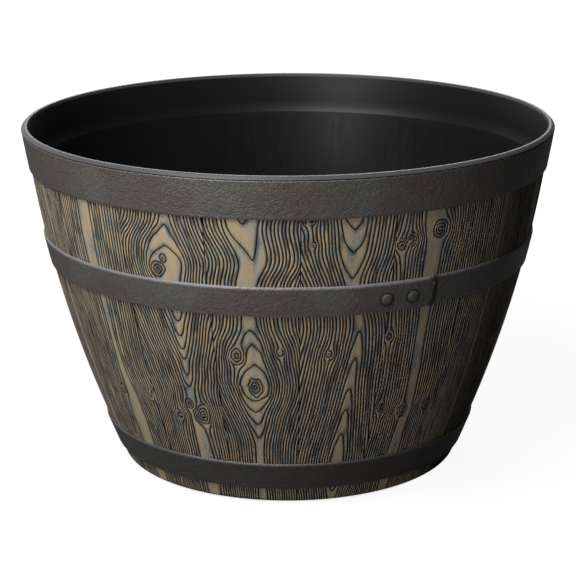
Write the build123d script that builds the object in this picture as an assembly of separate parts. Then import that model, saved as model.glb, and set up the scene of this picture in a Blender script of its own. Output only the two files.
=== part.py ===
from build123d import *
import os
from math import asin, cos, degrees, hypot, radians, sin, sqrt, tan

# Half-barrel planter: an inner pot with a lip, a ring of staves on its outside and three hoops.
# Origin at the centre of the base, +Z up, the front is -Y. Millimetres and degrees.

# Whole planter
rim_d = 520.0
height = 338.0
fit_gap = 0.3  # between a piece and its seat

# Line of the staves, from the top hoop down
stave_slope = 8.6  # lean of the side just under the top hoop
bow_radius = 1155.0  # of the curved part of the side
straight_h = 46.0  # below this height the side runs straight
foot_radius = 8.0  # rounded foot corner
foot_lift = 1.0  # staves stay this far off the ground

# Staves
stave_count = 18
stave_t = 2.6
seam_gap = 0.6
first_seam = 2.5  # from the front towards +X
tuck = 4.0  # of the stave's tongue behind the top hoop
tongue_t = 1.2
tongue_h = 7.0

# Hoops
hoop_t = 1.8
hoop_slope = 9.6  # lean of the top hoop's face
top_hoop_h = 36.0
middle_hoop_h = 29.0
middle_hoop_drop = 104.0  # from the lip to its upper edge
bottom_hoop_h = 29.0
bottom_hoop_rise = 17.5  # from the ground to its lower edge
bevel_h = 3.5
bevel_in = 1.3
edge_break = 0.5

# Lap of the middle hoop and its rivets
lap_end = 32.8  # from the front towards +X
lap_length = 76.0
joggle_length = 44.0
lap_gap = 0.1  # between the two layers
lap_corner = 6.0
rivet_inset = 22.0  # from the lap's end to the first rivet
rivet_pitch = 26.0
rivet_head_d = 11.5
rivet_head_h = 2.2
rivet_shank_d = 5.0
rivet_gap = 0.05

# Pot
pot_wall = 2.4
band_wall = 3.4  # behind the top hoop
lip_w = 5.7
lip_h = 4.0
lip_bevel = 3.0
ledge_drop = 41.0  # from the lip to the ledge inside
cove_h = 13.0
floor_t = 3.0
floor_rise = 12.0  # of the floor's underside
ring_w = 5.0  # of the foot ring
ring_draft = 3.0

# Drain and its plug
drain_d = 24.0
plug_clearance = 0.1
plug_head_d = 36.0
plug_head_h = 3.5
plug_stem_h = 6.5
plug_taper = 0.6
plug_grip_d = 14.0
plug_grip_h = 12.0
plug_round = 1.2

# Levels and radii that follow from the sizes above
rim_r = rim_d / 2
lip_under = height - lip_h
shoulder_z = lip_under - top_hoop_h
hoop_low_r = rim_r - top_hoop_h * tan(radians(hoop_slope))
shoulder_r = hoop_low_r - hoop_t - fit_gap
stave_back = stave_t + fit_gap
tongue_back = tongue_t + fit_gap
pot_inside = stave_back + pot_wall
stave_top = shoulder_z + tuck
rebate_z = stave_top - tongue_h

# Bow of the side: slopes at its two ends, centre in (radius, height)
slope_high = radians(stave_slope)
slope_low = asin(sin(slope_high) + (shoulder_z - straight_h) / bow_radius)
bow_r = shoulder_r - bow_radius * cos(slope_high)
bow_z = shoulder_z + bow_radius * sin(slope_high)

# Centre of the foot corner: foot_radius inside the straight part, just above the ground
foot_z = foot_lift + foot_radius
line_r = bow_r + bow_radius * cos(slope_low)
foot_r = line_r - (straight_h - foot_z) * tan(slope_low) - foot_radius / cos(slope_low)

# Floor of the pot
floor_top = floor_rise + floor_t
ring_r = foot_r - fit_gap


def closed_face(*runs):
    """Face in the XZ plane. A run is a point, a line of 2 points or an arc of 3; lines close the gaps."""
    edges = []
    for run, after in zip(runs, runs[1:] + runs[:1]):
        points = [(r, 0, z) for r, z in run]
        if len(points) == 2:
            edges.append(Edge.make_line(*points))
        if len(points) == 3:
            edges.append(Edge.make_three_point_arc(*points))
        if hypot(run[-1][0] - after[0][0], run[-1][1] - after[0][1]) > 1e-6:
            edges.append(Edge.make_line(points[-1], (after[0][0], 0, after[0][1])))
    return Face(Wire(edges))


def turn(run):
    """Angle about Z at which a place lies, given in degrees from the front towards +X."""
    return run - 90


def side_r(z, inset=0.0):
    """Radius of the staves' outer face at height z, or of a line that lies inset inside it."""
    radius = bow_radius - inset
    bow_end = bow_z - radius * sin(slope_low)
    if z > bow_end:
        return bow_r + sqrt(radius**2 - (z - bow_z) ** 2)
    return bow_r + radius * cos(slope_low) - (bow_end - z) * tan(slope_low)


def side_lean(z, inset=0.0):
    """Lean of that line at height z, in degrees from upright."""
    return degrees(min(slope_low, asin((bow_z - z) / (bow_radius - inset))))


def side(inset, low, high):
    """Runs of that line from height low up to high: the straight part, then the bow."""
    bow_end = bow_z - (bow_radius - inset) * sin(slope_low)
    start = max(low, bow_end)
    runs = []
    if low < bow_end:
        runs.append([(side_r(low, inset), low), (side_r(min(high, bow_end), inset), min(high, bow_end))])
    if high > bow_end:
        runs.append([(side_r(z, inset), z) for z in (start, (start + high) / 2, high)])
    return runs


def foot(inset):
    """Foot corner at that inset, from its lowest point up to the straight side."""
    radius = foot_radius - inset
    angles = [radians(-90), (radians(-90) - slope_low) / 2, -slope_low]
    return [(foot_r + radius * cos(a), foot_z + radius * sin(a)) for a in angles]


def foot_top(inset):
    return foot(inset)[-1][1]


def down(runs):
    return [run[::-1] for run in runs[::-1]]


def hoop_face_r(z):
    """Outer face of the top hoop, a plain cone that meets the lip."""
    return rim_r - (lip_under - z) * tan(radians(hoop_slope))


def pot():
    ledge = (side_r(height - ledge_drop, pot_inside), height - ledge_drop)
    cove_top_z = ledge[1] + cove_h
    cove_top = (hoop_face_r(cove_top_z) - hoop_t - fit_gap - band_wall, cove_top_z)
    lip_in = (rim_r - lip_w, height)
    lean = (cove_top[0] - lip_in[0], cove_top[1] - lip_in[1])
    cove = TangentArc(cove_top, ledge, tangent=lean)
    cove_mid = (cove @ 0.5).X, (cove @ 0.5).Y
    gutter_z = foot(pot_inside)[0][1]
    wall_low = foot(stave_back)[0][1]
    ring_in = ring_r - ring_w
    back_low = stave_top + fit_gap
    section = closed_face(
        [(drain_d / 2, floor_rise), (ring_in - ring_draft, floor_rise)],
        [(ring_in, 0), (ring_r, 0)],
        [(ring_r, wall_low)],
        foot(stave_back),
        *side(stave_back, foot_top(stave_back), rebate_z + fit_gap),
        *side(tongue_back, rebate_z + fit_gap, back_low),
        [(hoop_face_r(back_low) - hoop_t - fit_gap, back_low), (rim_r - hoop_t - fit_gap, lip_under)],
        [(rim_r, lip_under), (rim_r, height - lip_bevel)],
        [(rim_r - lip_bevel, height), lip_in],
        [cove_top, cove_mid, ledge],
        *down(side(pot_inside, foot_top(pot_inside), ledge[1])),
        foot(pot_inside)[::-1],
        [(ring_in + pot_wall, gutter_z), (ring_in - ring_draft + pot_wall, floor_top)],
        [(drain_d / 2, floor_top)],
    )
    return revolve(section, Axis.Z, 360)


def stave(index):
    """One stave: a bowed panel with a tongue at its top and a foot that curls under the pot's corner."""
    section = closed_face(
        foot(0),
        *side(0, foot_top(0), stave_top),
        *down(side(tongue_t, rebate_z, stave_top)),
        *down(side(stave_t, foot_top(stave_t), rebate_z)),
        foot(stave_t)[::-1],
    )
    pitch = 360 / stave_count
    seam = degrees(seam_gap / side_r(stave_top))
    panel = revolve(section, Axis.Z, pitch - seam)
    return Rot(0, 0, turn(first_seam + index * pitch + seam / 2)) * panel


def top_hoop():
    low_r = hoop_face_r(shoulder_z)
    section = closed_face(
        [(low_r - hoop_t, shoulder_z), (low_r - edge_break, shoulder_z)],
        [(hoop_face_r(shoulder_z + edge_break), shoulder_z + edge_break), (rim_r, lip_under)],
        [(rim_r - hoop_t, lip_under)],
    )
    return revolve(section, Axis.Z, 360)


def hoop_section(low, high):
    """Section of a hoop on the staves, with a bevel along its upper edge and a small break below."""
    back = -fit_gap
    face = -fit_gap - hoop_t
    return closed_face(
        *side(back, low, high),
        [(side_r(high, face) - bevel_in, high)],
        *down(side(face, low + edge_break, high - bevel_h)),
        [(side_r(low, face) - edge_break, low)],
    )


def bottom_hoop():
    return revolve(hoop_section(bottom_hoop_rise, bottom_hoop_rise + bottom_hoop_h), Axis.Z, 360)


# Middle hoop: a strip whose outer end steps out over its inner end
middle_high = height - middle_hoop_drop
middle_low = middle_high - middle_hoop_h
middle_mid = (middle_high - bevel_h + middle_low) / 2  # of the flat face, below the bevel
strip_r = side_r(middle_mid, -fit_gap - hoop_t)
lap_rise = hoop_t + lap_gap
lap_angle = degrees(lap_length / strip_r)
joggle_angle = degrees(joggle_length / strip_r)
lap_start = lap_end - lap_angle
face_slope = side_lean(middle_mid, -fit_gap - hoop_t)


def off_axis(section, shift, start, sweep):
    """Section turned through sweep about an upright axis that lies shift behind the planter's own."""
    moved = revolve(Pos(shift, 0, 0) * section, Axis.Z, sweep)
    return Rot(0, 0, start) * Pos(-shift, 0, 0) * moved


def lap_place(along, z, r):
    """Frame on the lap's face, along mm before its end: x outwards, z up the face."""
    return Rot(0, 0, turn(lap_end - degrees(along / strip_r))) * Pos(r, 0, z) * Rot(0, face_slope, 0)


def rivet_places():
    r = strip_r + lap_rise
    return [lap_place(rivet_inset + i * rivet_pitch, middle_mid, r) for i in range(2)]


def middle_hoop():
    section = hoop_section(middle_low, middle_high)
    # The step out is two arcs of equal turn that meet smoothly: one flatter, one tighter than the hoop
    half = radians(joggle_angle) / 2
    bend = 1 - cos(2 * half)
    shift = (2 * lap_rise + sqrt(4 * lap_rise**2 - 2 * bend * lap_rise**2)) / (2 * bend)
    ring_sweep = 360 - joggle_angle
    lifted = Pos(lap_rise, 0, 0) * section
    ring = Rot(0, 0, turn(lap_start)) * revolve(section, Axis.Z, ring_sweep)
    out = off_axis(section, shift, turn(lap_start - joggle_angle), degrees(half))
    back = off_axis(lifted, -shift, turn(lap_start), -degrees(half))
    lap = Rot(0, 0, turn(lap_start)) * revolve(lifted, Axis.Z, lap_angle)
    hoop = ring + out + back + lap
    for z in (middle_low, middle_high):
        corner = lap_place(0, z, side_r(z, -fit_gap - hoop_t) + lap_rise)
        hoop -= corner * Rot(45, 0, 0) * Box(2 * hoop_t, lap_corner, lap_corner)
    for place in rivet_places():
        hole = Rot(0, 90, 0) * Cylinder(rivet_shank_d / 2 + rivet_gap, 8 * hoop_t)
        hoop -= place * hole
    return hoop


def lap_rivets():
    """Two low domed rivets through both layers of the lap, each a separate solid."""
    head_r = rivet_head_d / 2
    shank_r = rivet_shank_d / 2
    dome_r = (head_r**2 + rivet_head_h**2) / (2 * rivet_head_h)
    half = asin(head_r / dome_r) / 2
    dome_mid = (dome_r * sin(half), rivet_head_h - dome_r + dome_r * cos(half))
    section = closed_face(
        [(0, -lap_rise - hoop_t - rivet_gap), (shank_r, -lap_rise - hoop_t - rivet_gap)],
        [(shank_r, 0)],
        [(head_r, 0), dome_mid, (0, rivet_head_h)],
    )
    rivet = Pos(rivet_gap, 0, 0) * Rot(0, 90, 0) * revolve(section, Axis.Z, 360)
    return Compound([(place * rivet).solid() for place in rivet_places()])


def drain_plug():
    """Rubber plug that sits in the drain from inside the pot, with a grip to pull it by."""
    stem_r = drain_d / 2 - plug_clearance
    head_top = floor_top + plug_head_h
    grip_r = plug_grip_d / 2
    section = closed_face(
        [(0, floor_top - plug_stem_h), (stem_r - plug_taper, floor_top - plug_stem_h)],
        [(stem_r, floor_top - floor_t), (stem_r, floor_top)],
        [(plug_head_d / 2, floor_top)],
        [(plug_head_d / 2, head_top - plug_round), (plug_head_d / 2 - plug_round, head_top)],
        [(grip_r - plug_round, head_top), (grip_r - plug_round, head_top + plug_grip_h / 2)],
        [(grip_r, head_top + plug_grip_h - 2 * plug_round), (grip_r, head_top + plug_grip_h - plug_round)],
        [(grip_r - plug_round, head_top + plug_grip_h), (0, head_top + plug_grip_h)],
    )
    return revolve(section, Axis.Z, 360)


parts = {
    "pot": pot(),
    "top_hoop": top_hoop(),
    "middle_hoop": middle_hoop(),
    "bottom_hoop": bottom_hoop(),
    "lap_rivets": lap_rivets(),
    "drain_plug": drain_plug(),
}
for index in range(stave_count):
    parts[f"stave_{index + 1:02d}"] = stave(index)

os.makedirs("parts", exist_ok=True)
for name, shape in parts.items():
    export_step(shape, f"parts/{name}.step")
    print(name, "solids", len(shape.solids()), "volume", round(shape.volume / 1000, 1), "cm3")
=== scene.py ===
# %% [markdown]
# This lesson dresses a half-barrel planter. The real one is moulded resin made to look like an old cask:
# bowed staves with deeply carved grain, three hammered hoops and a smooth black pot inside. The form is
# already there as a CAD frame in metres, with the front towards -Y, so this file only makes surfaces and
# their finish.

# %% Load the frame
from collections import namedtuple
from math import asin, atan2, cos, degrees, hypot, pi, radians, sin, tau

import bmesh
import bpy
import numpy as np
from mathutils import Matrix, Vector


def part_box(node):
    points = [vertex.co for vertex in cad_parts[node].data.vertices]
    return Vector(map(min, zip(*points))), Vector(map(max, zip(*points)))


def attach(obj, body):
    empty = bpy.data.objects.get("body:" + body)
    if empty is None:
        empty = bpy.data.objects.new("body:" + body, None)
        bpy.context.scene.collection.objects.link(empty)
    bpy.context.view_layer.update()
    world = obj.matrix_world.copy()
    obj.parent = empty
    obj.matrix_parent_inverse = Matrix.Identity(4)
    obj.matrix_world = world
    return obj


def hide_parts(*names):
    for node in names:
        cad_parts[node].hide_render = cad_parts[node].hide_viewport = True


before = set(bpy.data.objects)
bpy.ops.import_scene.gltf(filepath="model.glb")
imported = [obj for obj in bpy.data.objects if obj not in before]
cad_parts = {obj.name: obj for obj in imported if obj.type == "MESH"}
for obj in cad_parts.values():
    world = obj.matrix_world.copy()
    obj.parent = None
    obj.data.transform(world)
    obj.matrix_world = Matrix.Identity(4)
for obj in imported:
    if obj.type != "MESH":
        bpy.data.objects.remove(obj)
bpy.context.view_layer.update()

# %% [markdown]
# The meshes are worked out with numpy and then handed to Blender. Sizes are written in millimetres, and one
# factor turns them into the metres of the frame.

mm = 0.001
scene = bpy.context.scene

# %% [markdown]
# Colours are written as sRGB hex, the way a paint chart or a picture editor gives them. Blender's shaders
# work in linear light, so one function turns the one into the other and every material below uses it.

# %% Colour from a hex value
def paint(code):
    """Linear RGBA of an sRGB colour such as "8a7456"."""
    channels = [int(code[i : i + 2], 16) / 255 for i in (0, 2, 4)]
    return (*[c / 12.92 if c <= 0.04045 else ((c + 0.055) / 1.055) ** 2.4 for c in channels], 1.0)


# %% [markdown]
# Shader trees and geometry trees are both made of nodes, so one small function adds a node of any kind to
# either. Its inputs are given by name or number: a socket is linked, and any other value is written into
# the input. What the node does is set by keywords. A few shorter functions stand on it, for sums, blends
# and noise.

# %% Add a node
def fill(tree, node, inputs):
    for key, value in inputs.items():
        if isinstance(value, bpy.types.NodeSocket):
            tree.links.new(value, node.inputs[key])
        else:
            node.inputs[key].default_value = value


def add(tree, kind, inputs=None, **settings):
    made = tree.nodes.new(kind)
    for name, value in settings.items():
        setattr(made, name, value)
    fill(tree, made, inputs or {})
    return made


def calc(tree, operation, *values):
    """Output of a math node on those sockets or numbers."""
    return add(tree, "ShaderNodeMath", dict(enumerate(values)), operation=operation).outputs[0]


def times(tree, first, second):
    return calc(tree, "MULTIPLY", first, second)


def fade(tree, value, start, end, low=0.0, high=1.0):
    """Output that goes smoothly from low at start to high at end."""
    inputs = {0: value, 1: start, 2: end, 3: low, 4: high}
    return add(tree, "ShaderNodeMapRange", inputs, interpolation_type="SMOOTHSTEP").outputs[0]


def blend(tree, factor, first, second):
    """Output that is the first colour where the factor is 0 and the second where it is 1."""
    inputs = {0: factor, 6: first, 7: second}
    return add(tree, "ShaderNodeMix", inputs, data_type="RGBA").outputs[2]


def noise(tree, place, detail, scale=1.0, roughness=0.5):
    """Output of a noise texture, from 0 to 1 and mostly near 0.5."""
    inputs = {"Vector": place, "Scale": scale, "Detail": detail, "Roughness": roughness}
    return add(tree, "ShaderNodeTexNoise", inputs).outputs[0]


def stretch(tree, place, *factors):
    """Output of a place whose three parts are each multiplied by a factor."""
    return add(tree, "ShaderNodeVectorMath", {0: place, 1: factors}, operation="MULTIPLY").outputs[0]


def measure(tree, operation, *vectors):
    """Number that a vector math node works out, such as a distance."""
    return add(tree, "ShaderNodeVectorMath", dict(enumerate(vectors)), operation=operation).outputs[1]


def split(tree, vector):
    """The three parts of a vector."""
    return add(tree, "ShaderNodeSeparateXYZ", {0: vector}).outputs


def join(tree, *parts):
    """Output of a vector with those three parts."""
    return add(tree, "ShaderNodeCombineXYZ", dict(enumerate(parts))).outputs[0]


# %% [markdown]
# The camera comes first, because it decides what each later step is judged by. The planter was photographed
# with a long lens from a little above its lip. A focal length of 125 mm on a 36 mm sensor gives the same
# flat perspective, and the tilt and the small roll are those at which the hoops' ellipses fall into place.

# %% Camera
edge_z = 335 * mm  # height of the lip's outer edge
camera_back = 1932.35 * mm
camera_up = 384.02 * mm  # above that edge
camera_aside = -0.7 * mm
camera_tilt = 16.012
camera_roll = -0.266

camera_data = bpy.data.cameras.new("camera")
camera_data.lens = 125
camera_data.sensor_width = 36
camera = bpy.data.objects.new("camera", camera_data)
scene.collection.objects.link(camera)
place = Matrix.Translation((camera_aside, -camera_back, edge_z + camera_up))
turned = Matrix.Rotation(radians(90 - camera_tilt), 4, "X") @ Matrix.Rotation(radians(camera_roll), 4, "Z")
camera.matrix_world = place @ turned
scene.camera = camera
scene.view_settings.view_transform = "Standard"
print("camera at", [round(c, 3) for c in camera.location])

# %% [markdown]
# The side of the barrel is one line turned round the axis: a rounded foot, a straight stretch and a long
# bow up to the top hoop. The staves, and the hoops that lie on them, all follow it, so it is written once
# as a function of height, with the same sizes as the CAD model has.

# %% Line of the side
hoop_t = 1.8 * mm
fit_gap = 0.3 * mm  # between one layer and the next
band_h = 36 * mm  # height of the top hoop
band_lean = radians(9.6)
rim_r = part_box("pot")[1].x
hoop_low_r = rim_r - band_h * sin(band_lean) / cos(band_lean)
shoulder_z, band_top = (corner.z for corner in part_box("top_hoop"))
shoulder_r = hoop_low_r - hoop_t - fit_gap
bow_radius = 1155 * mm
straight_h = 46 * mm  # height at which the bow starts
foot_radius = 8 * mm
foot_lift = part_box("stave_01")[0].z
slope_high = radians(8.6)  # at the shoulder
slope_low = asin(sin(slope_high) + (shoulder_z - straight_h) / bow_radius)
bow_r = shoulder_r - bow_radius * cos(slope_high)
bow_z = shoulder_z + bow_radius * sin(slope_high)
foot_z = foot_lift + foot_radius
line_r = bow_r + bow_radius * cos(slope_low)
foot_r = line_r - (straight_h - foot_z) * sin(slope_low) / cos(slope_low) - foot_radius / cos(slope_low)


def side_r(z, inset=0.0):
    """Radius of the staves' outer face at height z, or of a line inset inside it."""
    radius = bow_radius - inset
    bow_end = bow_z - radius * sin(slope_low)
    on_bow = bow_r + np.sqrt(radius**2 - (np.maximum(z, bow_end) - bow_z) ** 2)
    return on_bow - np.maximum(bow_end - z, 0) * sin(slope_low) / cos(slope_low)


def side_slope(z):
    """Lean of the side at height z, in radians from upright."""
    return np.minimum(slope_low, np.arcsin((bow_z - z) / bow_radius))


def band_r(z):
    """Radius of the top hoop's outer face at height z."""
    return rim_r - (band_top - z) * (rim_r - hoop_low_r) / (band_top - shoulder_z)


cad_points = [v.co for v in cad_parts["stave_01"].data.vertices if 50 * mm < v.co.z < 290 * mm]
off_line = [hypot(p.x, p.y) - side_r(p.z) for p in cad_points]
on_face = [abs(off) for off in off_line if off > -1 * mm]
print("line of the side leaves the CAD staves by", round(max(on_face) / mm, 3), "mm")

# %% [markdown]
# Each stave is a strip of that side, 20 degrees wide. Its grain is real relief on the moulding, about 1 mm
# deep, so it is made in the mesh: a fine grid of points is laid over the outer face, and each point knows
# its place on the flat board, across and along it. The long edges are eased, which gives the seams their
# soft dark line.

# %% Grid of one stave
stave_count = 18
stave_angle = tau / stave_count
first_seam = radians(2.5)  # from the front towards +X
seam_gap = 0.6 * mm
stave_t = 2.6 * mm
tongue_t = 1.2 * mm
tuck = 4 * mm  # of the staves' tongues behind the top hoop
tongue_h = 7 * mm
stave_top = shoulder_z + tuck
rebate_z = stave_top - tongue_h
board_r = 230 * mm  # radius at which the distance across a board is measured
row_step = 1.35 * mm
column_step = 0.52 * mm
ease = 0.55 * mm  # of the long edges

board_half = board_r * stave_angle / 2 - seam_gap / 2


def outer_rows():
    """Points of the outer face from its foot up: radius, height, the way outwards in both, and the place
    along the board."""
    arc = np.linspace(-pi / 2, -slope_low, 13)[:-1]
    arc_z = foot_z + foot_radius * np.sin(arc)
    side_low = foot_z - foot_radius * sin(slope_low)
    run = side_low - (-slope_low - arc) * foot_radius
    z = np.linspace(side_low, stave_top, round((stave_top - side_low) / row_step))
    slope = side_slope(z)
    return np.column_stack((
        np.concatenate((foot_r + foot_radius * np.cos(arc), side_r(z))),
        np.concatenate((arc_z, z)),
        np.concatenate((np.cos(arc), np.cos(slope))),
        np.concatenate((np.sin(arc), -np.sin(slope))),
        np.concatenate((run, z)),
    ))


def back_rows():
    """Points of the inner face from the top down to the foot: radius and height."""
    high = [(side_r(z, tongue_t), z) for z in (stave_top, rebate_z)]
    low = [(side_r(z, stave_t), z) for z in np.linspace(rebate_z, foot_z, 12)]
    arc = np.linspace(-slope_low, -pi / 2, 5)
    inner = foot_radius - stave_t
    return np.array(high + low + [(foot_r + inner * cos(a), foot_z + inner * sin(a)) for a in arc])


def board_columns():
    """Places across the board and how far the eased edges fall back there."""
    inner = np.arange(-board_half + ease, board_half - ease + column_step / 2, column_step)
    eased = np.array([1.0, 0.72, 0.4, 0.15]) * ease  # from where the easing starts, the edge itself first
    edge_x = board_half - ease + eased
    edge_fall = ease - np.sqrt(ease**2 - eased**2)
    across = np.concatenate((-edge_x, inner, edge_x[::-1]))
    fall = np.concatenate((edge_fall, 0 * inner, edge_fall[::-1]))
    return across, fall


rows = outer_rows()
across, fall = board_columns()
print("grid of a stave:", len(rows), "rows by", len(across), "columns")

# %% [markdown]
# Wood grain is the cut through a tree's year rings. Away from the heart the rings are close, nearly
# straight lines. Over the heart they lie almost flat in the board and open a broad smooth strip, and where
# the heart rises or dips they close there into arches and nested Vs. So a board is written as the line of
# its heart. At some drops below the lip it says how far aside the heart lies, how many rings deep it is,
# and how broad its smooth strip is to each side. Every line of the grain follows from that, as on a real
# plank.

# %% Smooth noise and curves through a few points
lattice_size = 97  # steps after which the noise repeats
lattice_start = 500  # step on which the middle of a board lies


def wander(x, y, seed, size_x, size_y):
    """Smooth noise from -1 to 1 whose bumps have that size in x and in y."""
    lattice = np.random.default_rng(seed).uniform(-1, 1, (lattice_size, lattice_size))
    u, v = x / size_x + lattice_start, y / size_y + lattice_start
    i, j = np.floor(u).astype(int), np.floor(v).astype(int)
    fu, fv = u - i, v - j
    fu, fv = fu * fu * (3 - 2 * fu), fv * fv * (3 - 2 * fv)

    def corner(a, b):
        return lattice[(i + a) % lattice_size, (j + b) % lattice_size]

    low = corner(0, 0) * (1 - fu) + corner(1, 0) * fu
    high = corner(0, 1) * (1 - fu) + corner(1, 1) * fu
    return low * (1 - fv) + high * fv


def through(points, column, place):
    """Smooth curve through that column of the points, read at place. Their first column rises."""
    table = np.array(points, float)
    knots, values = table[:, 0], table[:, column]
    tangents = np.gradient(values, knots)
    at = np.clip(place, knots[0], knots[-1])
    k = np.clip(np.searchsorted(knots, at) - 1, 0, len(knots) - 2)
    span = knots[k + 1] - knots[k]
    s = (at - knots[k]) / span
    rise = values[k + 1] - values[k]
    bend = s * (1 - s) * ((tangents[k] * span - rise) * (1 - s) - (tangents[k + 1] * span - rise) * s)
    return values[k] + s * rise + bend


# %% [markdown]
# A branch leaves a knot. The rings bend round it the way water bends round a post, so each knot pushes the
# grain aside by the rule for such a flow, and holds small rings of its own. The field that comes out is a
# ring number for each point of the board: a groove runs wherever it is a whole number.

# %% Rings of a board
Board = namedtuple("Board", "heart knots")  # in mm; a point of the heart: drop, aside, rings, strip
Knot = namedtuple("Knot", "aside drop radius tall", defaults=(1.2,))
line_pitch = 3.1  # between rings away from the heart
strip_pitch = 16.0  # between rings over the heart
knot_pitch = 2.7  # between the rings of a knot
knot_reach = 3.5  # radii of a knot over which it bends the grain
softness = 1.3  # with which the lines turn over the heart and leave its strip


def ring_field(board, seed, x, drop):
    """Ring number over the board, and how deep inside a knot a point lies, 0 outside. Arguments in mm."""
    bent = x + 0.9 * wander(x, drop, seed, 30, 120) + 0.05 * wander(x, drop, seed + 1, 7, 30)
    inside = 0 * x
    knot_rings = 0 * x
    for k, knot in enumerate(board.knots):
        dx, dy = x - knot.aside, (drop - knot.drop) / knot.tall
        wobble = 1 + 0.12 * wander(np.arctan2(dy, dx) * 2, 0 * x, seed + 9 + k, 1, 1)
        r = np.hypot(dx, dy) / wobble
        push = np.minimum(1, (knot.radius / np.maximum(r, 0.1)) ** 2)
        bent = bent - dx * push * np.minimum(1, np.exp(knot_reach - r / knot.radius))
        depth = np.clip(1 - r / knot.radius, 0, 1)
        inside = np.maximum(inside, depth)
        knot_rings = np.maximum(knot_rings, depth * knot.radius / knot_pitch)
    aside, rings, strip = (through(board.heart, column, drop) for column in (1, 2, 3))
    away = np.hypot(bent - aside, softness)
    beyond = softness * np.logaddexp(0, (away - strip) / softness)
    number = rings + away / strip_pitch + beyond * (1 / line_pitch - 1 / strip_pitch)
    uneven = 0.24 * wander(x, drop, seed + 3, 6, 140) + 0.06 * wander(x, drop, seed + 5, 4, 45)
    spread = number + uneven * np.clip((away - strip + 3) / 6, 0, 1)
    return spread + knot_rings, inside


# %% [markdown]
# The staves that face the viewer carry the figures of the planter in the picture: where a flat, an arch or
# a knot sits is read off it and written down here as a few points for each board. The staves at the back
# aren't in the picture, so theirs are drawn from seeded chance, from the same kinds of figure.

# %% Boards
boards = {
    14: Board([(30, 4, 5.2, 3), (120, 8, 5.2, 2), (200, 10, 5.2, 4), (345, 9, 5.2, 4)],
              [Knot(-14, 205, 3.5)]),
    15: Board([(30, -2, 5.3, 8), (105, -2, 5.3, 7), (140, 0, 5.3, 4), (205, 0, 5.3, 4), (240, 2, 5.2, 10),
               (290, 2, 5.2, 12), (345, 2, 5.2, 9)], [Knot(-11, 232, 4.5), Knot(34, 228, 3.5, 2.0)]),
    16: Board([(28, 6, 6.5, 3), (45, 6, 6.0, 4), (66, 3, 5.0, 12), (80, 4, 4.3, 13), (100, 4, 4.2, 10),
               (128, 8, 3.3, 6), (145, 8, 4.1, 4), (158, 8, 5.0, 4), (172, 8, 6.0, 3), (182, 8, 7.0, 3),
               (200, 8, 8.0, 3), (212, 8, 9.0, 3), (240, 10, 9.4, 3), (268, 11, 9.2, 7), (290, 11, 9.2, 10),
               (345, 9, 9.2, 9)],
              [Knot(1, 80, 4), Knot(-5, 91, 7), Knot(17, 239, 9.5, 1.25), Knot(4, 229, 5),
               Knot(-11, 243, 5)]),
    17: Board([(28, -6, 4.4, 13), (44, -7, 5.0, 13), (80, 0, 6.0, 11), (99, -6, 6.2, 9), (128, -6, 5.4, 6),
               (143, -6, 5.0, 6), (158, -6, 4.0, 8), (178, -5, 3.0, 8), (204, -4, 2.2, 8), (220, -4, 3.0, 7),
               (232, -4, 4.0, 6), (246, -3, 5.0, 5), (262, -3, 6.0, 4), (288, -4, 6.3, 4), (345, -4, 6.2, 6)],
              [Knot(-19, 172, 7, 1.4), Knot(-3, 204, 9), Knot(22, 168, 3.6)]),
    0: Board([(28, 3, 3.0, 8), (50, 4, 4.0, 9), (72, 4, 5.0, 10), (98, 5, 6.0, 5), (122, 10, 6.4, 3),
              (143, 14, 6.0, 3), (172, 13, 5.0, 4), (205, 10, 4.0, 4), (228, 9, 3.0, 4), (254, 7, 2.0, 5),
              (290, 5, 1.3, 8), (315, 4, 1.6, 6), (345, 4, 3.0, 4)],
             [Knot(-32, 39, 4.5, 0.8), Knot(-13, 170, 4.2), Knot(-30, 62, 2.6)]),
    1: Board([(28, -3, 5.2, 8), (100, -2, 5.2, 8), (150, -1, 5.3, 5), (215, 1, 5.3, 5), (240, 0, 5.3, 4),
              (262, -1, 5.2, 5), (290, -2, 5.2, 8), (345, -2, 5.2, 7)],
             [Knot(-34, 67, 6.5, 1.0), Knot(-25, 63, 6, 1.0), Knot(2, 57, 9, 1.1), Knot(-36, 157, 4),
              Knot(-6, 240, 7.5, 0.9), Knot(-32, 233, 5), Knot(28, 240, 5)]),
    2: Board([(28, 3, 5.3, 4), (140, 2, 5.2, 3), (250, 2, 5.3, 4), (345, 1, 5.2, 3)], [Knot(-37, 210, 3.5)]),
}


def chance_board(seed):
    """A board for the back: its heart wanders, rises or dips, and its smooth strip opens and closes."""
    rng = np.random.default_rng(seed)
    drops = np.arange(20, 360, 33)
    asides = rng.uniform(-13, 13) + rng.uniform(-3, 3, len(drops))
    steps = rng.choice([-1.2, 0, 0, 1.2], len(drops) - 1)
    rings = 6.25 + np.concatenate(([0], np.cumsum(steps)))
    strips = rng.uniform(3, 11, len(drops))
    knots = [Knot(asides[0] + rng.uniform(-22, 22), rng.uniform(50, 270), rng.uniform(3, 7))
             for _ in range(rng.integers(1, 4))]
    return Board(list(zip(drops, asides, rings, strips)), knots)


unseen = [index for index in range(stave_count) if index not in boards]
boards.update({index: chance_board(100 + index) for index in unseen})
print("boards drawn by chance:", len(unseen), "of", stave_count)

# %% [markdown]
# Now the grid becomes a mesh. The outer face keeps, at each point, its ring number, how fast that number
# changes, and which way is outwards. The back and the ends close it, so that the stave is a solid strip and
# not a sheet.

# %% Mesh of a stave
def stave_points(r, z, x):
    """Positions for each radius, height and place across a stave whose middle faces the front."""
    angle = x / board_r
    return np.stack((r * np.sin(angle), -r * np.cos(angle), z + 0 * x), axis=-1)


def gradient_size(field, x, along, r):
    """Change of the field per mm over the grid of the outer face."""
    real_across = np.gradient(x, axis=1) * r / board_r / mm
    real_along = np.gradient(along, axis=0) / mm
    return np.hypot(np.gradient(field, axis=1) / real_across, np.gradient(field, axis=0) / real_along)


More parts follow.
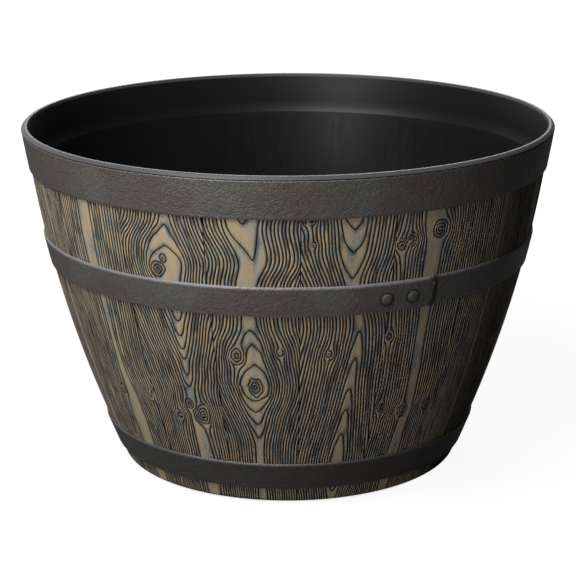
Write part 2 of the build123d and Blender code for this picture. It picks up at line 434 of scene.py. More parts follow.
def store(mesh, name, values, width=1, rest=0.0):
    """Keeps a number, or a vector where the width is 3, for each of the mesh's first points, and rest for
    the others."""
    full = np.full((len(mesh.vertices), width), rest, np.float32)
    given = np.reshape(values, (-1, width))
    full[: len(given)] = given
    kind, field = ("FLOAT", "value") if width == 1 else ("FLOAT_VECTOR", "vector")
    mesh.attributes.new(name, kind, "POINT").data.foreach_set(field, full.ravel())


def stave_mesh(index):
    x, row = np.meshgrid(across, np.arange(len(rows)))
    r, z, out_r, out_z, along = (rows[row, i] for i in range(5))
    drop = (edge_z - along) / mm
    ring, inside = ring_field(boards[index], 40 + 17 * index, x / mm, drop)
    slope = np.maximum(gradient_size(ring, x, along, r), 0.01)
    back_fall = fall[None, :] + 0 * x
    outer = stave_points(r - out_r * back_fall, z - out_z * back_fall, x)
    back = back_rows()
    back_x, back_row = np.meshgrid(across, np.arange(len(back)))
    inner = stave_points(back[back_row, 0], back[back_row, 1], back_x)
    points = np.concatenate((outer, inner))
    loops, width = points.shape[:2]
    number = np.arange(loops * width).reshape(loops, width)
    after = np.roll(number, -1, axis=0)
    quads = np.stack((number[:, :-1], number[:, 1:], after[:, 1:], after[:, :-1]), axis=-1).reshape(-1, 4)
    mesh = bpy.data.meshes.new(f"stave_{index + 1:02d}_grain")
    ends = [number[::-1, 0].tolist(), number[:, -1].tolist()]
    mesh.from_pydata(points.reshape(-1, 3).tolist(), [], quads.tolist() + ends)
    angle = x / board_r
    outward = np.stack((out_r * np.sin(angle), -out_r * np.cos(angle), out_z), axis=-1)
    store(mesh, "ring", ring)
    store(mesh, "slope", slope, rest=1.0)
    store(mesh, "knot", inside)
    store(mesh, "face", 1 + 0 * ring)
    store(mesh, "outward", outward, 3)
    store(mesh, "board", np.stack((x, along, 0 * x + index), axis=-1), 3)
    mesh.shade_smooth()
    centre = first_seam + (index + 0.5) * stave_angle
    mesh.transform(Matrix.Rotation(centre, 4, "Z"))
    return mesh


# %% [markdown]
# A geometry tree carves the grain. A groove lies where the ring number is whole, and dividing the distance
# to the next whole number by the change per millimetre gives that distance in millimetres, so every groove
# is equally wide however close the rings are. The tree pushes the points inwards there, adds fine fibres,
# and never lifts a point over the stave's face.

# %% Carving tree
tightest = 0.34  # rings per mm; where they are closer, the grooves get narrower


def start_tree(name, numbers):
    """Geometry tree with those named numbers as inputs; returns it and the sockets of its inputs."""
    tree = bpy.data.node_groups.new(name, "GeometryNodeTree")
    tree.interface.new_socket("Geometry", in_out="OUTPUT", socket_type="NodeSocketGeometry")
    tree.interface.new_socket("Geometry", in_out="INPUT", socket_type="NodeSocketGeometry")
    for label, value in numbers.items():
        tree.interface.new_socket(label, in_out="INPUT", socket_type="NodeSocketFloat").default_value = value
    tree.interface.new_socket("Material", in_out="INPUT", socket_type="NodeSocketMaterial")
    return tree, add(tree, "NodeGroupInput").outputs


def end_tree(tree, geometry, material):
    real = add(tree, "GeometryNodeRealizeInstances", {0: geometry})
    painted = add(tree, "GeometryNodeSetMaterial", {0: real.outputs[0], "Material": material})
    add(tree, "NodeGroupOutput", {0: painted.outputs[0]})


def named(tree, name, kind="FLOAT"):
    return add(tree, "GeometryNodeInputNamedAttribute", {0: name}, data_type=kind).outputs[0]


def to_groove(tree, ring, slope):
    """How far the ring number is from a whole one, and that distance in mm, up to the tightest rings."""
    parted = calc(tree, "ABSOLUTE", calc(tree, "SUBTRACT", ring, calc(tree, "ROUND", ring)))
    return parted, calc(tree, "DIVIDE", parted, calc(tree, "MINIMUM", slope, tightest))


def push_inwards(tree, given, depth, outward):
    """Ends a tree that moves the points of the outer face inwards by that depth."""
    inwards = times(tree, times(tree, depth, named(tree, "face")), -1.0)
    offset = add(tree, "ShaderNodeVectorMath", {0: outward, 3: inwards}, operation="SCALE")
    moved = add(tree, "GeometryNodeSetPosition", {0: given["Geometry"], "Offset": offset.outputs[0]})
    end_tree(tree, moved.outputs[0], given["Material"])


def carving_tree():
    inputs = {"Groove depth": 0.85 * mm, "Groove half width": 1.0, "Crown": 0.14 * mm, "Fibre": 0.08 * mm}
    tree, given = start_tree("carve grain", inputs)
    ring = named(tree, "ring")
    parted, distance = to_groove(tree, ring, named(tree, "slope"))
    groove = fade(tree, distance, 0.15, given["Groove half width"], 1, 0)
    board = named(tree, "board", "FLOAT_VECTOR")
    _, along, index = split(tree, board)
    each_groove = join(tree, calc(tree, "ROUND", ring), calc(tree, "DIVIDE", along, 45 * mm), index)
    uneven = fade(tree, noise(tree, each_groove, 1.0), 0.3, 0.7, 0.62, 1.0)
    depth = times(tree, given["Groove depth"], uneven)
    crown = times(tree, given["Crown"], fade(tree, parted, 0.1, 0.5, 1, 0))
    threads = noise(tree, stretch(tree, board, 1 / (1.1 * mm), 1 / (14 * mm), 7.0), 2.0)
    fibre = times(tree, given["Fibre"], threads)
    total = calc(tree, "ADD", times(tree, groove, depth), calc(tree, "ADD", crown, fibre))
    push_inwards(tree, given, total, named(tree, "outward", "FLOAT_VECTOR"))
    return tree


# %% [markdown]
# The staves are moulded resin with a cheap but clever paint job: a near-black base, a thin blue-grey wash
# in patches, and tan dry-brushed over what stands proud. In the broad strips the tan is also mixed with a
# darker grey beside the grooves. The brush misses the grooves, so the shader reads the same ring number as
# the carving and keeps them dark. Where the lines are dense it also skips a ridge here and there. Paint of
# this kind is matt.

# %% Material of the staves
def new_material(name):
    """A new material, its tree and its shader."""
    material = bpy.data.materials.new(name)
    material.use_nodes = True
    tree = material.node_tree
    return material, tree, tree.nodes["Principled BSDF"]


def read(tree, name, output="Fac"):
    """Number or vector that the mesh keeps at each point under that name."""
    return add(tree, "ShaderNodeAttribute", attribute_name=name).outputs[output]


def brushed_resin():
    material, tree, shader = new_material("moulded resin, dry-brushed tan")
    ring, slope, knot = read(tree, "ring"), read(tree, "slope"), read(tree, "knot")
    board = read(tree, "board", "Vector")
    _, along, index = split(tree, board)
    distance = to_groove(tree, ring, slope)[1]
    dense = times(tree, fade(tree, slope, 0.1, 0.24), fade(tree, knot, 0.12, 0.02))
    groove_end = fade(tree, dense, 0.0, 1.0, 0.35, 0.5)
    ridge_start = fade(tree, dense, 0.0, 1.0, 0.95, 1.1)
    ridge = fade(tree, distance, groove_end, ridge_start)

    step = times(tree, calc(tree, "FLOOR", ring), 1.37)
    each_ridge = join(tree, step, calc(tree, "DIVIDE", along, 26 * mm), index)
    skipped = fade(tree, noise(tree, each_ridge, 2.0), 0.52, 0.36, 0.0, 0.6)
    patches = noise(tree, stretch(tree, board, 1 / (9 * mm), 1 / (34 * mm), 3.0), 4.0, roughness=0.6)
    streaks = noise(tree, stretch(tree, board, 1 / (7 * mm), 1 / (1.3 * mm), 5.0), 3.0)
    wash_amount = times(tree, fade(tree, patches, 0.52, 0.72), fade(tree, streaks, 0.4, 0.62))
    in_broad = fade(tree, dense, 1.0, 0.3, 0.15, 1.0)
    # A darker grey beside the grooves in the broad strips, in patches.
    near_groove = times(tree, fade(tree, distance, 4.2, 0.8), in_broad)
    darker_beside_grooves = times(tree, near_groove, fade(tree, patches, 0.4, 0.62, 0.3, 0.9))
    cracks = times(tree, fade(tree, knot, 0.3, 0.55), fade(tree, streaks, 0.48, 0.4))

    tan = blend(tree, fade(tree, patches, 0.38, 0.6), paint("9a876c"), paint("858276"))
    washed = blend(tree, wash_amount, tan, paint("424a50"))
    shaded = blend(tree, darker_beside_grooves, washed, paint("474845"))
    cracked = blend(tree, cracks, shaded, paint("1d1c1a"))
    toned = blend(tree, times(tree, dense, skipped), cracked, paint("2e2c28"))
    base = blend(tree, ridge, paint("16191b"), toned)
    fill(tree, shader, {"Base Color": base, "Roughness": 0.6, "Specular IOR Level": 0.2})
    return material


# %% [markdown]
# A geometry tree runs once on its piece, and what it makes is kept as a plain mesh. Each piece is then tied
# to the frame: it says which finish it has, which CAD node it replaces and with which body it moves.

# %% Make the staves
def new_piece(name, mesh):
    piece = bpy.data.objects.new(name, mesh)
    scene.collection.objects.link(piece)
    return piece


def tie(piece, body, node):
    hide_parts(node)
    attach(piece, body)


def settle(piece, tree, material, slot, body, node, **numbers):
    """Runs a geometry tree on a piece, keeps the result as a plain mesh and ties the piece to the frame."""
    modifier = piece.modifiers.new(tree.name, "NODES")
    modifier.node_group = tree
    sockets = {item.name: item.identifier for item in tree.interface.items_tree if item.in_out == "INPUT"}
    for label, value in {"Material": material, **numbers}.items():
        modifier[sockets[label]] = value
    ready = piece.evaluated_get(bpy.context.evaluated_depsgraph_get())
    mesh = bpy.data.meshes.new_from_object(ready)
    piece.modifiers.clear()
    piece.data = mesh
    tie(piece, body, node)


stave_paint = brushed_resin()
carve = carving_tree()
for index in range(stave_count):
    node = f"stave_{index + 1:02d}"
    piece = new_piece(f"{node}_carved", stave_mesh(index))
    settle(piece, carve, stave_paint, "stave_finish", "planter", node)
print(stave_count, "staves of about", len(piece.data.polygons) * 2, "triangles each")

# %% [markdown]
# The hoops are moulded to look like old hammered iron. Two are closed rings. The middle one is a strip
# whose end lifts in a joggle and laps over its start, with two rivets through both. Its places are
# distances along the strip, and they are worked out here, because its mesh, its paint and its rivets all
# need them.

# %% Sizes and places of the hoops
bevel_h = 3.5 * mm
bevel_in = 1.3 * mm
edge_h = 0.6 * mm  # height over which the lower edge is rounded
hoop_step = 1.25 * mm
lap_end = radians(32.8)  # from the front towards +X
lap_length = 76 * mm
joggle_length = 44 * mm
lap_rise = hoop_t + 0.1 * mm
corner_clip = 6 * mm  # of the lap's end
rivet_inset = 22 * mm  # from the lap's end to the first rivet
rivet_pitch = 26 * mm

middle = [corner.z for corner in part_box("middle_hoop")]
bottom = [corner.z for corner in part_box("bottom_hoop")]
strip_z = (middle[0] + middle[1] - bevel_h) / 2  # middle of the flat of its face
strip_r = side_r(strip_z, -fit_gap - hoop_t)
lap_angle = lap_length / strip_r
joggle_angle = joggle_length / strip_r


def on_strip(angle, lift=0.0):
    """Point in the middle of the strip's face, raised by lift."""
    r = strip_r + lift
    return (r * sin(angle), -r * cos(angle), strip_z)


rivet_angles = [lap_end - (rivet_inset + i * rivet_pitch) / strip_r for i in range(2)]
rivet_places = [on_strip(angle, lap_rise) for angle in rivet_angles]
print("lap of", round(degrees(lap_angle), 1), "degrees, rivets", round(rivet_pitch / mm), "mm apart")

# %% [markdown]
# A hoop is its section carried once round the barrel. Each point of a section holds radius, height, how
# much it is hammered and how much it is an edge, above 0 on the upper bevel and below 0 on the lower edge.
# The mesh keeps the last two for the hammering and the paint.

# %% Hoop meshes
def face_heights(low, high):
    return np.linspace(low + edge_h, high, round((high - low) / hoop_step))


def lower_edge(r, low):
    return [(r - 0.7 * mm, low, 0, -1), (r - 0.15 * mm, low + 0.2 * mm, 1, -1)]


def hoop_section(low, high):
    """Closed section of a hoop on the staves, outer face first."""
    out = fit_gap + hoop_t
    face = [(side_r(z, -out), z, 1, 0) for z in face_heights(low, high - bevel_h)]
    face[0] = (*face[0][:3], -0.6)
    bevel = []
    for s in np.linspace(0, 1, 6)[1:]:
        z = high - bevel_h + s * bevel_h
        bevel.append((side_r(z, -out) - bevel_in * s * s * (0.5 + 0.5 * s), z, 0.5, min(1, 1.6 * s)))
    back = [(side_r(z, -fit_gap), z, 0, 0) for z in np.linspace(high, low, 8)]
    return np.array(face + bevel + back + lower_edge(side_r(low, -out), low), float)


def top_section():
    """Closed section of the top hoop, which is straight and has no bevel."""
    face = [(band_r(z), z, 1, 0) for z in face_heights(shoulder_z, band_top)]
    back = [(band_r(z) - hoop_t, z, 0, 0) for z in (band_top, shoulder_z)]
    return np.array(face + back + lower_edge(band_r(shoulder_z), shoulder_z), float)


def ring_mesh(name, section, angles, lift, closed):
    """Section carried round the axis through those angles, from the front towards +X. An open ring has the
    corners of its last end clipped."""
    r = section[None, :, 0] + lift[:, None]
    sweep = angles[:, None] + 0 * r
    if not closed:
        z = section[:, 1]
        clipped = np.maximum(0, corner_clip - np.minimum(z - z.min(), z.max() - z)) / strip_r
        near_end = np.clip(1 - (angles[-1] - angles) * strip_r / (2 * corner_clip), 0, 1)
        sweep = sweep - near_end[:, None] * clipped[None, :]
    points = np.stack((r * np.sin(sweep), -r * np.cos(sweep), section[None, :, 1] + 0 * r), axis=-1)
    turns, around = r.shape
    number = np.arange(turns * around).reshape(turns, around)
    after = np.roll(number, -1, axis=0) if closed else number[1:]
    first = number if closed else number[:-1]
    corners = (first, after, np.roll(after, -1, axis=1), np.roll(first, -1, axis=1))
    quads = np.stack(corners, axis=-1).reshape(-1, 4)
    ends = [] if closed else [number[0, :].tolist(), number[-1, ::-1].tolist()]
    mesh = bpy.data.meshes.new(name)
    mesh.from_pydata(points.reshape(-1, 3).tolist(), [], quads.tolist() + ends)
    for column, label in enumerate(("face", "edge"), start=2):
        store(mesh, label, np.broadcast_to(section[None, :, column], r.shape))
    mesh.shade_smooth()
    return mesh


def ring_angles(radius):
    count = round(tau * radius / hoop_step)
    return np.arange(count) * tau / count


# %% [markdown]
# The hammered skin has two sizes. Shallow dents a few millimetres wide are pushed into the mesh, because
# the light that rakes over a hoop shows them even from a distance. The grain of the mould, a millimetre or
# two wide, is left to the paint as a bump.

# %% Hammering tree
def hammering_tree():
    tree, given = start_tree("hammer", {"Dent size": 5.0 * mm, "Dent depth": 0.25 * mm, "Seed": 0.0})
    place = add(tree, "GeometryNodeInputPosition").outputs[0]
    scaled = add(tree, "ShaderNodeVectorMath", {0: place, 1: given["Dent size"]}, operation="DIVIDE")
    inputs = {"Vector": scaled.outputs[0], "W": given["Seed"], "Scale": 1.0, "Detail": 3.0, "Roughness": 0.62}
    dents = add(tree, "ShaderNodeTexNoise", inputs, noise_dimensions="4D").outputs[0]
    depth = times(tree, given["Dent depth"], fade(tree, dents, 0.62, 0.34))
    push_inwards(tree, given, depth, add(tree, "GeometryNodeInputNormal").outputs[0])
    return tree


# %% [markdown]
# The paint is a near-black brown with a reddish bloom. The upper bevel is painted a lighter grey and the
# lower edge a paler brown, partly rubbed wear and partly painted highlight. A ring of painted shade lies
# round each rivet, painted shade and dirt darken the corner beside the lap's end, and towards the ground the
# hoops get darker as painted shade.

# %% Material of the hoops
# Painted shade: a dark ring on the band round the foot of each rivet.
def painted_shade_round_rivets(tree, place):
    away = calc(tree, "MINIMUM", *[measure(tree, "DISTANCE", place, rivet) for rivet in rivet_places])
    return times(tree, fade(tree, away, 8.2 * mm, 5.9 * mm), fade(tree, away, 5.0 * mm, 5.7 * mm))


# Painted shade and dirt: a dark patch in the corner just past the lap's end.
def shade_and_dirt_beside_lap(tree, place):
    from_end = add(tree, "ShaderNodeVectorMath", {0: place, 1: on_strip(lap_end)}, operation="SUBTRACT")
    past = measure(tree, "DOT_PRODUCT", from_end.outputs[0], (cos(lap_end), sin(lap_end), 0))
    away = measure(tree, "LENGTH", from_end.outputs[0])
    beside = times(tree, fade(tree, past, 9 * mm, 0.5 * mm), fade(tree, past, -0.6 * mm, 0.1 * mm))
    return times(tree, beside, fade(tree, away, 34 * mm, 26 * mm))


def hammered_resin():
    material, tree, shader = new_material("moulded resin, hammered iron look")
    place = add(tree, "ShaderNodeTexCoord").outputs["Object"]
    broad = noise(tree, place, 3.0, 1 / (60 * mm))
    blotch = noise(tree, place, 5.0, 1 / (16 * mm), 0.65)
    fine = noise(tree, place, 2.0, 1 / (1.5 * mm))
    edge = read(tree, "edge")
    shade_and_dirt = calc(tree, "MAXIMUM", painted_shade_round_rivets(tree, place), shade_and_dirt_beside_lap(tree, place))
    # Painted shade: the hoops get darker towards the ground.
    painted_shade_low = fade(tree, split(tree, place)[2], 230 * mm, 60 * mm, 0.0, 0.55)

    brown = blend(tree, fade(tree, broad, 0.38, 0.62), paint("4d4d4a"), paint("4a443e"))
    rusty = blend(tree, fade(tree, blotch, 0.5, 0.75, 0.0, 0.3), brown, paint("6b4a42"))
    pitted = blend(tree, fade(tree, fine, 0.38, 0.6, 0.35, 0.0), rusty, paint("201f1f"))
    # Upper bevel lighter grey, lower edge paler brown: partly rubbed wear, partly painted highlight.
    rubbed_and_highlit_bevel = blend(tree, fade(tree, edge, 0.0, 1.0, 0.0, 0.25), pitted, paint("8c8b96"))
    rubbed_and_highlit_edge = blend(tree, fade(tree, edge, 0.0, -1.0, 0.0, 0.45), rubbed_and_highlit_bevel, paint("8a766e"))
    # Painted shade and dirt near the rivets and the lap, then painted shade towards the ground.
    shaded_and_dirty = blend(tree, times(tree, shade_and_dirt, 0.85), rubbed_and_highlit_edge, paint("0b0b0b"))
    base = blend(tree, painted_shade_low, shaded_and_dirty, paint("141413"))
    bump = add(tree, "ShaderNodeBump", {"Height": fine, "Strength": 1.0, "Distance": 0.65 * mm})
    dullness = fade(tree, blotch, 0.3, 0.7, 0.38, 0.46)
    fill(tree, shader, {"Base Color": base, "Roughness": dullness, "Specular IOR Level": 0.45})
    fill(tree, shader, {"Normal": bump.outputs[0]})
    return material


# %% [markdown]
# Now the three hoops are made. Each has its own seed, so that no two have the same dents.

# %% Make the hoops
def lapped_strip():
    """Angles and lifts along the middle hoop: from its hidden start, once round, up the joggle and over."""
    start = lap_end - lap_angle
    count = round((tau + lap_angle) * strip_r / hoop_step)
    angles = start + np.linspace(0, tau + lap_angle, count)
    past = (angles - (start + tau - joggle_angle)) / joggle_angle
    s = np.clip(past, 0, 1)
    rise = np.where(s < 0.5, 2 * s * s, 1 - 2 * (1 - s) ** 2)
    return angles, lap_rise * rise


def make_hoop(name, section, angles, lift, closed, seed):
    mesh = ring_mesh(name, section, angles, lift, closed)
    settle(new_piece(f"{name}_hammered", mesh), hammer, hoop_paint, "hoop_finish", "planter", name, Seed=seed)


hoop_paint = hammered_resin()
hammer = hammering_tree()
plain = ring_angles(rim_r)
make_hoop("top_hoop", top_section(), plain, 0 * plain, True, 1.0)
plain = ring_angles(side_r(bottom[0]))
make_hoop("bottom_hoop", hoop_section(*bottom), plain, 0 * plain, True, 2.0)
strip_angles, strip_lift = lapped_strip()
make_hoop("middle_hoop", hoop_section(*middle), strip_angles, strip_lift, False, 3.0)
print("points along the middle hoop:", len(strip_angles))

# %% [markdown]
# Two low rivets hold the lap. They are alike, so a geometry tree makes one flattened ball and sets it on
# each of two points, turned to face the way the band does there. Half of each ball is sunk in the band,
# like a real head drawn tight.

# %% Rivets
def rivet_points():
    """Mesh of two points on the lap, each with the way that the band faces there."""
    lean = side_slope(strip_z)
    mesh = bpy.data.meshes.new("rivet_points")
    mesh.from_pydata(rivet_places, [], [])
    ways = [(cos(lean) * sin(a), -cos(lean) * cos(a), -sin(lean)) for a in rivet_angles]
    store(mesh, "outward", ways, 3)
    return mesh


def rivet_tree():
    tree, given = start_tree("rivets", {"Radius": 5.75 * mm, "Height": 1.7 * mm})
    ball = add(tree, "GeometryNodeMeshUVSphere", {"Segments": 40, "Rings": 24, "Radius": 1.0})
    size = join(tree, given["Radius"], given["Radius"], given["Height"])
    flat = add(tree, "GeometryNodeTransform", {"Geometry": ball.outputs[0], "Scale": size})
    smooth = add(tree, "GeometryNodeSetShadeSmooth", {"Geometry": flat.outputs[0]})
    outward = named(tree, "outward", "FLOAT_VECTOR")
    facing = add(tree, "FunctionNodeAlignRotationToVector", {"Vector": outward}, axis="Z")
    dotted = add(tree, "GeometryNodeMeshToPoints", {"Mesh": given["Geometry"]})
    placed = add(tree, "GeometryNodeInstanceOnPoints", {
        "Points": dotted.outputs[0], "Instance": smooth.outputs[0], "Rotation": facing.outputs[0]})
    end_tree(tree, placed.outputs[0], given["Material"])
    return tree


rivets = new_piece("rivet_heads", rivet_points())
settle(rivets, rivet_tree(), hoop_paint, "hoop_finish", "planter", "lap_rivets")
print("rivets:", len(rivets.data.polygons), "faces")

# %% [markdown]
# The pot is black polypropylene, injection moulded, with the satin skin of a polished tool. Its colour goes
# all through it, so it needs no paint. The lip is scuffed to a dark grey, and on the wall below the ledge
# the gloss has faint upright streaks, the way the plastic flowed.

# %% Material of the pot
pot_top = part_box("pot")[1].z
ledge_drop = 41 * mm  # from the lip's top
ledge_z = pot_top - ledge_drop


def moulded_black():
    material, tree, shader = new_material("black polypropylene, satin moulded")
    place = add(tree, "ShaderNodeTexCoord").outputs["Object"]
    height = split(tree, place)[2]
    flow = noise(tree, stretch(tree, place, 1 / (5 * mm), 1 / (5 * mm), 1 / (90 * mm)), 3.0)
    on_wall = fade(tree, height, ledge_z + 2 * mm, ledge_z - 12 * mm)
    streaks = times(tree, on_wall, fade(tree, flow, 0.3, 0.7, -0.07, 0.02))
    scuffed = fade(tree, height, pot_top - 3.6 * mm, pot_top - 2.6 * mm)
    base = blend(tree, scuffed, paint("101011"), paint("38383a"))
    dullness = calc(tree, "ADD", streaks, 0.43)
    fill(tree, shader, {"Base Color": base, "Roughness": dullness, "IOR": 1.49, "Specular IOR Level": 0.15})
    return material


# %% [markdown]
# The pot and its plug are turned forms, so each is one closed section carried round the axis, as the hoops
# are. A mould can't fill a knife edge, so the corners that can be seen or touched get a small round first.
# The pot's insets follow from the layers outside it: the staves, their tongues and the top hoop, each with
# its gap.

# %% Sections of the pot and the plug
# These sizes are in mm, and heights count from the ground
lip_w = 5.7
lip_slant = 3.0  # of the lip's outer edge
cove_drop = 28.0  # from the lip's top to where the cove starts
wall_inset = 5.3  # of the wall's inner face from the line of the side
band_inset = 5.5  # of the inner face from the top hoop's outer face
wall_low = 9.0
floor_top, floor_low = 15.0, 12.0
floor_edge = 5.9  # from the foot's radius in to the raised floor
gutter_z = 6.3  # of the low channel round the raised floor
gutter_w = 2.9
drain_r = 12.0
corner_z = 3.9  # of the corner over which the staves hook
ring_w = 5.0  # of the ring on which the pot stands
ring_slope = 3.0  # of that ring's inner face


def round_corner(before, corner, after, radius, steps=4):
    """Points of a small arc in place of a corner, in (radius, height)."""
    corner = np.array(corner)
    to_before, to_after = np.array(before) - corner, np.array(after) - corner
    reach = min(radius, 0.45 * np.linalg.norm(to_before), 0.45 * np.linalg.norm(to_after))
    start = corner + to_before / np.linalg.norm(to_before) * reach
    end = corner + to_after / np.linalg.norm(to_after) * reach
    return [(1 - t) ** 2 * start + 2 * t * (1 - t) * corner + t * t * end for t in np.linspace(0, 1, steps)]


def soft_section(corners):
    """Closed section from (radius, height, rounding) corners in mm, ready to be turned."""
    places = [np.array(corner[:2]) * mm for corner in corners]
    points = []
    for i, place in enumerate(places):
        rounding = corners[i][2] * mm
        if rounding:
            points += round_corner(places[i - 1], place, places[(i + 1) % len(places)], rounding)
        else:
            points.append(place)
    return np.array([(*p, 0, 0) for p in points])


def arc_from(start, way, end, count):
    """Points of the arc that leaves start in that way and reaches end."""
    start, end, way = np.array(start), np.array(end), np.array(way) / np.hypot(*way)
    side = np.array((-way[1], way[0]))
    chord = end - start
    radius = chord @ chord / (2 * chord @ side)
    turned = 2 * atan2(chord @ side, chord @ way)
    angles = np.linspace(0, turned, count)[1:]
    return [tuple(start + radius * (np.sin(a) * way + (1 - np.cos(a)) * side)) for a in angles]


def pot_corners():
    """Corners of the pot's section in mm: up the outside, over the lip, down the inside, round the foot."""
    rim, under, high, foot = rim_r / mm, band_top / mm, pot_top / mm, foot_r / mm
    rebate, tucked = (rebate_z + fit_gap) / mm, (stave_top + fit_gap) / mm
    for_stave, for_tongue, for_hoop = ((t + fit_gap) / mm for t in (stave_t, tongue_t, hoop_t))

    def side_at(z, inset):
        return side_r(z * mm, inset * mm) / mm, z

    def band_at(z, inset):
        return band_r(z * mm) / mm - inset, z

    outside = [(*side_at(z, for_stave), 0) for z in np.linspace(wall_low, rebate_z / mm, 14)]
    step = [(*side_at(rebate, for_tongue), 0), (*side_at(tucked, for_tongue), 0),
            (*band_at(tucked, for_hoop), 0), (rim - for_hoop, under, 0)]
    lip = [(rim, under, 0.4), (rim, high - lip_slant, 0.9),
           (rim - lip_slant, high, 0.7), (rim - lip_w, high, 0.9)]
    ledge = side_at(ledge_z / mm, wall_inset)
    cove_top = band_at(high - cove_drop, band_inset)
    way = (cove_top[0] - rim + lip_w, cove_top[1] - high)
    cove = [(*cove_top, 0), *[(*p, 0) for p in arc_from(cove_top, way, ledge, 9)[:-1]]]
    below_ledge = np.linspace(ledge_z / mm - 3, wall_low, 26)
    inside = [(*ledge, 0.5), *[(*side_at(z, wall_inset), 0) for z in below_ledge]]
    gutter = [(foot, gutter_z, 1.2), (foot - gutter_w, gutter_z, 1.0)]
    floor = [(foot - floor_edge, floor_top, 1.5), (drain_r, floor_top, 0.4), (drain_r, floor_low, 0.4)]
    ring_r = foot - fit_gap / mm
    ring = [(ring_r - ring_w - ring_slope, floor_low, 1.0), (ring_r - ring_w, 0, 0.8),
            (ring_r, 0, 0.8), (ring_r, corner_z, 0)]
    return outside + step + lip + cove + inside + gutter + floor + ring


# The plug from its foot up: the stem in the hole, the head over it, the knob that is pulled
plug_corners = [
    (0, 8.5, 0), (11.3, 8.5, 0.5), (11.9, floor_low, 0), (11.9, floor_top, 0), (18, floor_top, 0.3),
    (18, 17.3, 0.6), (16.8, 18.5, 1.0), (5.8, 18.5, 1.0), (5.2, 24.5, 2.0), (7, 28.1, 1.2), (7, 29.3, 0.8),
    (5.8, 30.5, 0.8), (0, 30.3, 0),
]
print("corners of the pot and the plug:", len(pot_corners()), len(plug_corners))

# %% [markdown]
# Turning a section leaves points that fall together where it meets the axis, so those are joined. The plug
# is rubber, duller than the pot and a little greyed by bloom.

# %% Make the pot and the plug
def lathe(name, corners, turns):
    """Piece turned from a section, in that many steps round."""
    angles = np.arange(turns) * tau / turns
    mesh = ring_mesh(name, soft_section(corners), angles, 0 * angles, True)
    work = bmesh.new()
    work.from_mesh(mesh)
    bmesh.ops.remove_doubles(work, verts=work.verts, dist=0.01 * mm)
    bmesh.ops.recalc_face_normals(work, faces=work.faces)
    work.to_mesh(mesh)
    work.free()
    mesh.shade_smooth()
    return new_piece(name, mesh)


def finish(piece, material, body, node):
    piece.data.materials.append(material)
    tie(piece, body, node)


def moulded_rubber():
    material, tree, shader = new_material("black rubber, moulded")
    place = add(tree, "ShaderNodeTexCoord").outputs["Object"]
    bloom = noise(tree, place, 4.0, 1 / (6 * mm))
    base = blend(tree, bloom, paint("1a1a1a"), paint("262524"))
    fill(tree, shader, {"Base Color": base, "Roughness": 0.75})
    return material


pot = lathe("pot_moulded", pot_corners(), 256)
finish(pot, moulded_black(), "planter", "pot")
plug = lathe("drain_plug_moulded", plug_corners, 64)
finish(plug, moulded_rubber(), "plug", "drain_plug")
print("pot:", len(pot.data.polygons), "faces, plug:", len(plug.data.polygons), "faces")

# %% [markdown]
# The studio is plain: a pale floor and a white backdrop. One large soft lamp is high up to the left, a
# small one low in front of it makes the sheen inside, and one behind keeps the back from being lost.
# Nothing fills in from the right, which is why that side of the planter falls into the dark. The white that
# the camera sees is a glow that Light Path gives to its rays alone, so it adds nothing to the light on the
# planter, and a share of it goes to mirrored rays. Behind the planter and to the left that share is full,
# and the lip shows it as a grey sheen. Elsewhere the room is dim, or the black skin would turn grey. The
# floor's own colour is lit on top of its glow, so the planter's shadow stays on it.

# %% Floor, surround and lamps
floor_glow = 0.93  # near the planter, where the lamp does the rest
dim = 0.04  # what a mirrored ray sees of the floor and of the dim part of the room
ambient = 0.012  # light from all around


def seen(tree, by_camera, by_mirror):
    """Strength of a glow for the camera's rays and for mirrored or transmitted ones; light rays get none."""
    rays = add(tree, "ShaderNodeLightPath").outputs
    mirrored = calc(tree, "MAXIMUM", rays["Is Glossy Ray"], rays["Is Transmission Ray"])
    return calc(tree, "MAXIMUM", times(tree, rays["Is Camera Ray"], by_camera),
                times(tree, mirrored, by_mirror))


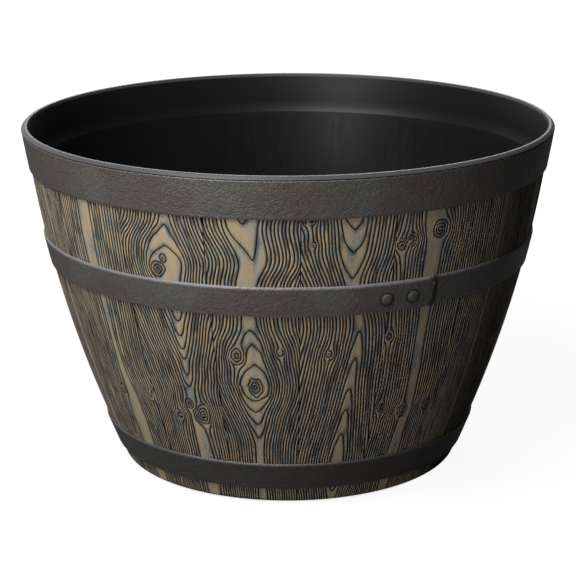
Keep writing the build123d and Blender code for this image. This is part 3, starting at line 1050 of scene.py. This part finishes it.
def floor_material():
    material, tree, shader = new_material("pale studio floor")
    fill(tree, shader, {"Base Color": paint("404040"), "Roughness": 0.9, "Specular IOR Level": 0.0})
    place = add(tree, "ShaderNodeTexCoord").outputs["Object"]
    away = measure(tree, "LENGTH", place)
    # No glow under the planter. Where the glow fades in just outside the foot, it paints a thin ring of
    # shadow on the floor.
    outside = fade(tree, away, foot_r - 10 * mm, foot_r + 4 * mm)  # no glow through the drain hole
    by_camera = times(tree, outside, fade(tree, away, 0.5, 1.3, floor_glow, 1.0))
    glow = add(tree, "ShaderNodeEmission", {"Color": paint("ffffff"), "Strength": seen(tree, by_camera, dim)})
    both = add(tree, "ShaderNodeAddShader", {0: shader.outputs[0], 1: glow.outputs[0]})
    tree.links.new(both.outputs[0], tree.nodes["Material Output"].inputs["Surface"])
    return material


def make_floor():
    half = 6.0
    corners = [(-half, -half, 0), (half, -half, 0), (half, half, 0), (-half, half, 0)]
    mesh = bpy.data.meshes.new("floor")
    mesh.from_pydata(corners, [], [(0, 1, 2, 3)])
    mesh.materials.append(floor_material())
    new_piece("floor", mesh)


def make_surround():
    world = bpy.data.worlds.new("surround")
    world.use_nodes = True
    tree = world.node_tree
    way = add(tree, "ShaderNodeTexCoord").outputs["Generated"]
    to_right, to_back, _ = split(tree, way)
    white = times(tree, fade(tree, to_back, 0.1, 0.7), fade(tree, to_right, 0.6, 0.1))
    backdrop = calc(tree, "MAXIMUM", white, dim)
    strength = calc(tree, "MAXIMUM", seen(tree, 1.0, backdrop), ambient)
    fill(tree, tree.nodes["Background"], {"Color": paint("ffffff"), "Strength": strength})
    scene.world = world


def make_lamp(name, azimuth, elevation, distance, size, power):
    """Square soft lamp aimed at the middle of the planter. Angles in degrees, azimuth from the front towards
    +X, distance and size in metres, power in watts."""
    data = bpy.data.lights.new(name, "AREA")
    data.size = size
    data.energy = power
    lamp = bpy.data.objects.new(name, data)
    scene.collection.objects.link(lamp)
    round_by, up_by = radians(azimuth), radians(elevation)
    way = Vector((sin(round_by) * cos(up_by), -cos(round_by) * cos(up_by), sin(up_by)))
    target = Vector((0, 0, edge_z / 2))
    turn = way.to_track_quat("Z", "Y").to_matrix().to_4x4()
    lamp.matrix_world = Matrix.Translation(target + way * distance) @ turn


make_floor()
make_surround()
make_lamp("key", -36, 54, 1.9, 1.0, 67)
make_lamp("low_front", -27, 11, 2.2, 0.45, 22)
make_lamp("back", 180, 42, 2.4, 1.2, 42)
print("studio ready")
